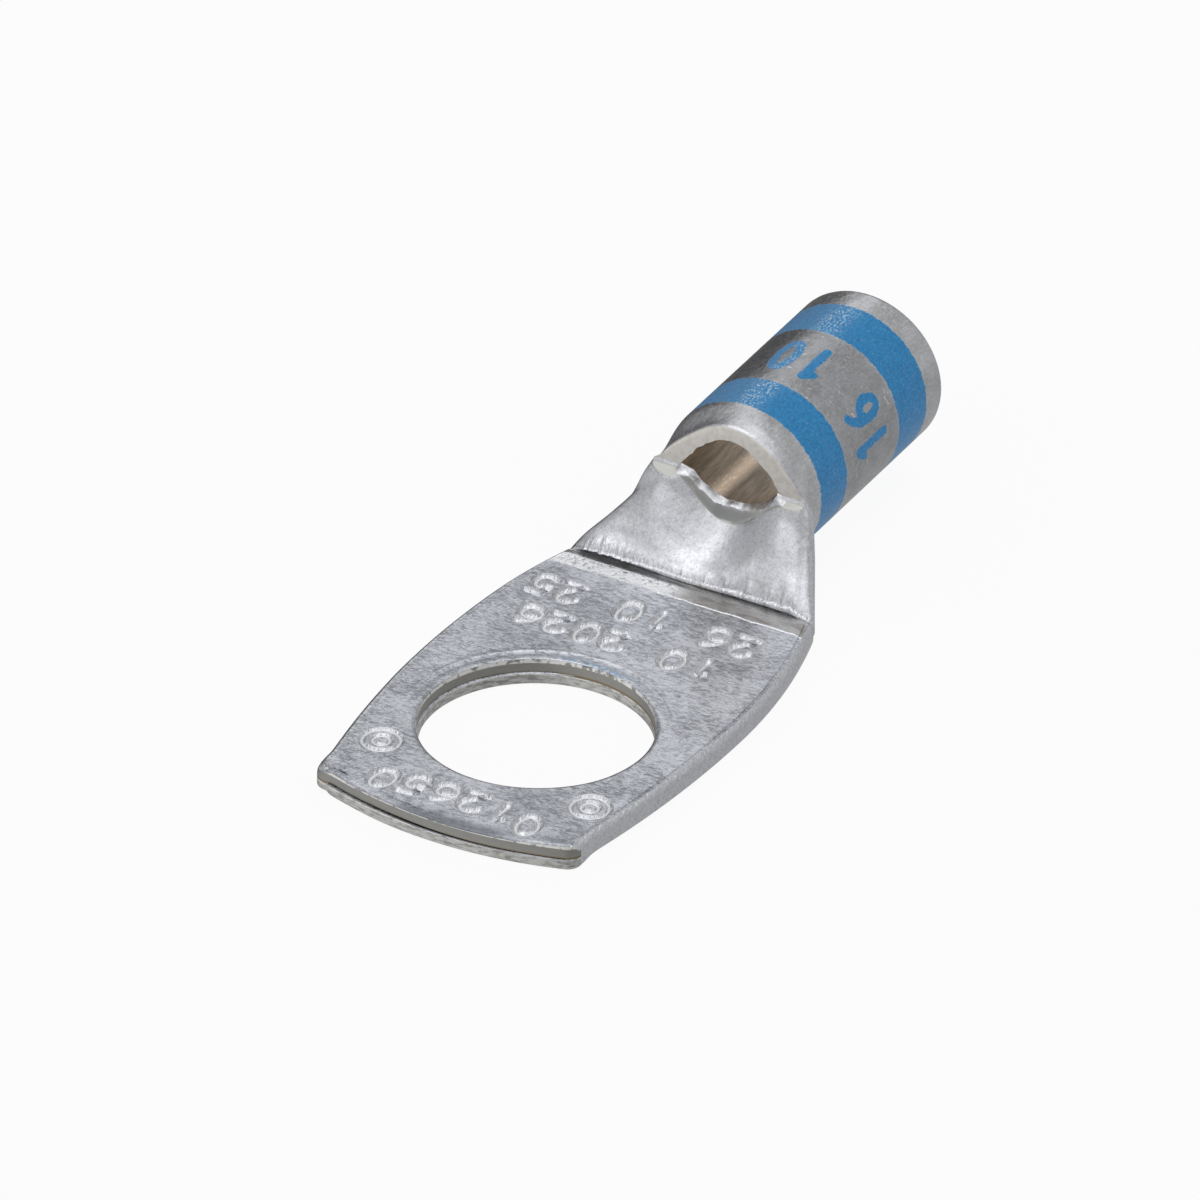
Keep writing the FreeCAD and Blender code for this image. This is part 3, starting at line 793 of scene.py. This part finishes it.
# A stamped row is (figures, x of its foot, y of its start, height, bend); all the figures are plain numbers.
stamp = dict(
    rows=(("26 10 25", 10.85, 5.1, 1.5, 0.0), ("10 2026", 8.3, 4.4, 1.4, 0.0),
          ("012650", -6.25, 4.3, 1.4, 0.028)),
    width=1.65, pitch=1.45, radius=0.27, sunk=0.18,
    ringPlaces=((-4.7, 5.05), (-4.75, -5.4)), ringRadii=(0.85, 0.38), ringStroke=0.24, ringRise=0.04,
)
printed = dict(text="16 10", startArc=-5.8, baseX=24.0, height=2.3, width=1.4, pitch=1.5, halfWidth=0.22)


def textStrokes(text, width, height, pitch):  # strokes of all the figures in millimetres, the first one at 0
    strokes = []
    for place, figure in enumerate(text):
        for stroke in figureStrokes.get(figure, []):
            strokes.append(stroke * [width, height] + [place * pitch, 0])
    return strokes


# A tube along a flat path: rings square to the path, their radius falling to nothing at the two ends.
def tubeGrid(path, height, radius):
    closed = np.allclose(path[0], path[-1])
    if closed:
        path = path[:-1]
        along = np.roll(path, -1, 0) - np.roll(path, 1, 0)
    else:
        along = np.gradient(path, axis=0)
    along /= np.hypot(*along.T)[:, None]
    sizes = np.full(len(path), radius)
    if not closed:
        tips = np.radians([75, 50, 25])
        startPath = path[0] - along[0] * radius * np.sin(tips)[:, None]
        endPath = path[-1] + along[-1] * radius * np.sin(tips[::-1])[:, None]
        path = np.concatenate([startPath, path, endPath])
        along = np.concatenate([along[:1].repeat(3, 0), along, along[-1:].repeat(3, 0)])
        sizes = np.concatenate([radius * np.cos(tips), sizes, radius * np.cos(tips[::-1])])
    across = np.stack([-along[:, 1], along[:, 0]], 1)
    turn = np.linspace(0, 2 * np.pi, 12, endpoint=False) + np.pi / 12
    flat = path[:, None] + across[:, None] * (sizes[:, None] * np.cos(turn))[..., None]
    rise = height + sizes[:, None] * np.sin(turn)
    return np.concatenate([flat, rise[..., None]], -1), closed


def stampCutters(material):
    middle = pad["thickness"] + stamp["radius"] - stamp["sunk"]
    ringMiddle = middle + stamp["ringRise"]
    cutters = []
    for text, baseX, startY, height, bend in stamp["rows"]:
        for stroke in textStrokes(text, stamp["width"], height, stamp["pitch"]):
            across = stroke[:, 0] - startY
            path = np.stack([baseX - stroke[:, 1] - bend * across ** 2, across], 1)
            grid, closed = tubeGrid(path, middle, stamp["radius"])
            cutters.append(putMesh("stamp", grid, material, closed))
    for x, y in stamp["ringPlaces"]:
        for radius in stamp["ringRadii"]:
            circle = ellipseArc(x, y, radius, radius, 0, 360, 44)
            grid, closed = tubeGrid(circle, ringMiddle, stamp["ringStroke"])
            cutters.append(putMesh("round_stamp", grid, material, closed))
    return cutters


def distanceToPath(points, path):  # the least distance from each point to the path's straight pieces
    best = np.full(len(points), 9.0)
    for start, end in zip(path[:-1], path[1:]):
        piece = end - start
        share = np.clip(((points - start) @ piece) / max(piece @ piece, 1e-9), 0, 1)
        best = np.minimum(best, np.hypot(*(points - start - share[:, None] * piece).T))
    return best


def markPrint(mesh):  # for each vertex, how far it is outside the printed figures
    spots = np.empty(len(mesh.vertices) * 3)
    mesh.vertices.foreach_get("co", spots)
    x, y, z = spots.reshape(-1, 3).T / mm
    arc = barrel["radius"] * np.arctan2(y, z - axisZ(x))
    outside = np.full(len(x), 1.0)
    near = (x > 20.5) & (x < 25.2)
    points = np.stack([arc, x], 1)[near]
    best = np.full(len(points), 1.0)
    for stroke in textStrokes(printed["text"], printed["width"], printed["height"], printed["pitch"]):
        path = np.stack([printed["startArc"] + stroke[:, 0], printed["baseX"] - stroke[:, 1]], 1)
        best = np.minimum(best, distanceToPath(points, path) - printed["halfWidth"])
    outside[near] = best
    mesh.attributes.new("printed", "FLOAT", "POINT").data.foreach_set("value", outside)


# Sheared and sawn faces take their own finish. They are picked by where they lie and which way they face.
def markCutFaces(mesh, satinSlot, shearedSlot, sawnSlot):
    count = len(mesh.polygons)
    centres, normals, slots = np.empty(count * 3), np.empty(count * 3), np.empty(count, int)
    mesh.polygons.foreach_get("center", centres)
    mesh.polygons.foreach_get("normal", normals)
    mesh.polygons.foreach_get("material_index", slots)
    x, y, z = centres.reshape(-1, 3).T / mm
    towardMouth, _, upward = normals.reshape(-1, 3).T
    fromValley = np.abs(y - neck["valleyY"])
    isSide = (x < 13.3) & (z < 1.215) & (np.hypot(x, y) > 5.6)
    isTip = (x < -7.3) & (np.abs(upward) < 0.45) & (np.abs(y) < 6.7) & (towardMouth < -0.2)
    isWall = (np.hypot(x, y) < 5.25) & (np.abs(upward) < 0.6)
    isFace = (x > 16.45) & (x < 16.6) & (towardMouth < -0.6) & (z > 3.5)
    isFloor = (x > 15.6) & (x < 16.43) & (np.abs(z - sawFloor(x)) < 0.04) & (upward > 0.6)
    isLipWall = (x > 16.04) & (x < 16.25) & (towardMouth < -0.55) & (fromValley < 2.6) & (z > 3)
    isLip = (x > 16.1) & (x < 16.56) & (upward > 0.5) & (fromValley < 2.7)
    slots[isSide & (np.abs(upward) < 0.97) & (x > -7.9)] = satinSlot
    slots[isTip | isWall | isLipWall | isFloor] = shearedSlot
    slots[isFace] = sawnSlot
    slots[isLip] = satinSlot
    mesh.polygons.foreach_set("material_index", slots)


print("materials")
pressedFinish, struckFinish = pressedTin(), pressedTin("struck electro-tinned copper", 0.8)
satinFinish, copperFinish = satinTin(), bareCopper()
shearedFinish, sawnFinish = shearedTin(), sawnTin()
print("pad")
lug = putMesh("tinned_lug", padGrid(), pressedFinish, ring=True)
joinOrCut(lug, stampCutters(struckFinish), "DIFFERENCE")
print("neck and barrel")
joinOrCut(lug, [putMesh("skin", skinGrid(), satinFinish)], "UNION")
print("bore and cavity")
cavity = putMesh("cavity", cavityGrid(), copperFinish)
joinOrCut(lug, [cavity, putMesh("bore", boreGrid(), copperFinish)], "DIFFERENCE")
lug.data.materials.append(shearedFinish)
lug.data.materials.append(sawnFinish)
slotOf = {material.name: slot for slot, material in enumerate(lug.data.materials)}
markCutFaces(lug.data, *(slotOf[material.name] for material in (satinFinish, shearedFinish, sawnFinish)))
markPrint(lug.data)
lug.data.shade_smooth()
lug.data.set_sharp_from_angle(angle=np.radians(32))
lug.data.calc_loop_triangles()
print("triangles", len(lug.data.loop_triangles), [m.name for m in lug.data.materials])
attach(lug, "root")
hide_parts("lug")

# Stage: a white sheet, a soft box of light above, and dimmer surroundings low down behind the barrel. The
# floor's drop is in millimetres and its size in metres. A glow fades between its two angles, in degrees.
stage = dict(floorSize=1.5, floorDrop=0.03, floorColour="#F2F2F2", floorGlow=0.99, glowShare=0.94, base=0.46)
glows = (
    dict(toward=(-0.2, 0.05, 0.94), inner=20, outer=60, strength=0.55),
    dict(toward=(0.742, 0.40, 0.53), inner=8, outer=18, strength=0.48),
    dict(toward=(0.74, 0.66, 0.0), inner=14, outer=40, strength=-0.36),
    dict(toward=(0.74, -0.55, 0.38), inner=12, outer=36, strength=0.10),
    dict(toward=(-0.6, 0.5, -0.4), inner=10, outer=60, strength=0.32),
)


def makeFloor():
    size, z = stage["floorSize"], -stage["floorDrop"] * mm
    mesh = bpy.data.meshes.new("floor")
    corners = [(-size, -size, z), (size, -size, z), (size, size, z), (-size, size, z)]
    mesh.from_pydata(corners, [], [(0, 1, 2, 3)])
    floor = bpy.data.objects.new("floor", mesh)
    bpy.context.scene.collection.objects.link(floor)
    floor.visible_glossy = False
    material, tree = newMaterial("pale paper floor")
    paper = addNode(tree, "ShaderNodeBsdfPrincipled", Base_Color=srgbToLinear(stage["floorColour"]),
                    Roughness=0.9)
    glow = addNode(tree, "ShaderNodeEmission", Color=(1, 1, 1, 1), Strength=stage["floorGlow"])
    path = addNode(tree, "ShaderNodeLightPath")
    share = product(tree, path.outputs["Is Camera Ray"], stage["glowShare"])
    mix = addNode(tree, "ShaderNodeMixShader", _0=share, _1=paper.outputs[0], _2=glow.outputs[0])
    addNode(tree, "ShaderNodeOutputMaterial", Surface=mix.outputs[0])
    mesh.materials.append(material)


def makeWorld():
    world = bpy.data.worlds.new("studio")
    bpy.context.scene.world = world
    world.use_nodes = True
    tree = world.node_tree
    tree.nodes.clear()
    place = addNode(tree, "ShaderNodeTexCoord")
    total = stage["base"]
    for glow in glows:
        toward = tuple(Vector(glow["toward"]).normalized())
        cosine = addNode(tree, "ShaderNodeVectorMath", dict(operation="DOT_PRODUCT"),
                         _0=place.outputs["Generated"], _1=toward).outputs["Value"]
        outer, inner = np.cos(np.radians([glow["outer"], glow["inner"]]))
        total = doMath(tree, "ADD", total, ramp(tree, cosine, outer, inner, 0.0, glow["strength"]))
    path = addNode(tree, "ShaderNodeLightPath")
    strength = doMath(tree, "MAXIMUM", total, path.outputs["Is Camera Ray"])
    background = addNode(tree, "ShaderNodeBackground", Color=(1, 1, 1, 1), Strength=strength)
    addNode(tree, "ShaderNodeOutputWorld", Surface=background.outputs[0])


def makeLamp(name, place, aim, size, watts):
    data = bpy.data.lights.new(name, "AREA")
    data.shape = "DISK"
    data.size = size
    data.energy = watts
    lamp = bpy.data.objects.new(name, data)
    lamp.location = place
    lamp.rotation_euler = (Vector(aim) - Vector(place)).to_track_quat("-Z", "Y").to_euler()
    bpy.context.scene.collection.objects.link(lamp)


# Camera: where the photograph was taken from, fitted to the hole, the pad's outline and the barrel.
cameraView = dict(azimuth=-60.6076, elevation=31.5670, roll=1.0447, distance=776.572, aimRight=2.64564,
                  aimUp=6.41122, focalPixels=17894.78, imagePixels=1200, sensor=36.0)


def makeCamera():
    turn, rise, roll = (np.radians(cameraView[key]) for key in ("azimuth", "elevation", "roll"))
    back = np.array([np.sin(turn) * np.cos(rise), -np.cos(turn) * np.cos(rise), np.sin(rise)])
    right = np.array([np.cos(turn), np.sin(turn), 0])
    up = np.cross(back, right)
    place = back * cameraView["distance"] + right * cameraView["aimRight"] + up * cameraView["aimUp"]
    rolledRight = np.cos(roll) * right + np.sin(roll) * up
    rolledUp = np.cos(roll) * up - np.sin(roll) * right
    data = bpy.data.cameras.new("camera")
    data.sensor_width = cameraView["sensor"]
    data.lens = cameraView["focalPixels"] / cameraView["imagePixels"] * cameraView["sensor"]
    data.clip_start = 0.05
    data.clip_end = 20
    camera = bpy.data.objects.new("camera", data)
    matrix = np.eye(4)
    matrix[:3, :3] = np.stack([rolledRight, rolledUp, back], 1)
    matrix[:3, 3] = place * mm
    camera.matrix_world = Matrix(matrix.tolist())
    bpy.context.scene.collection.objects.link(camera)
    bpy.context.scene.camera = camera


print("stage")
makeFloor()
makeWorld()
makeLamp("overhead", (0.02, 0.10, 0.55), (0.008, 0, 0), 0.5, 0.3)
makeCamera()
bpy.context.scene.view_settings.view_transform = "Standard"
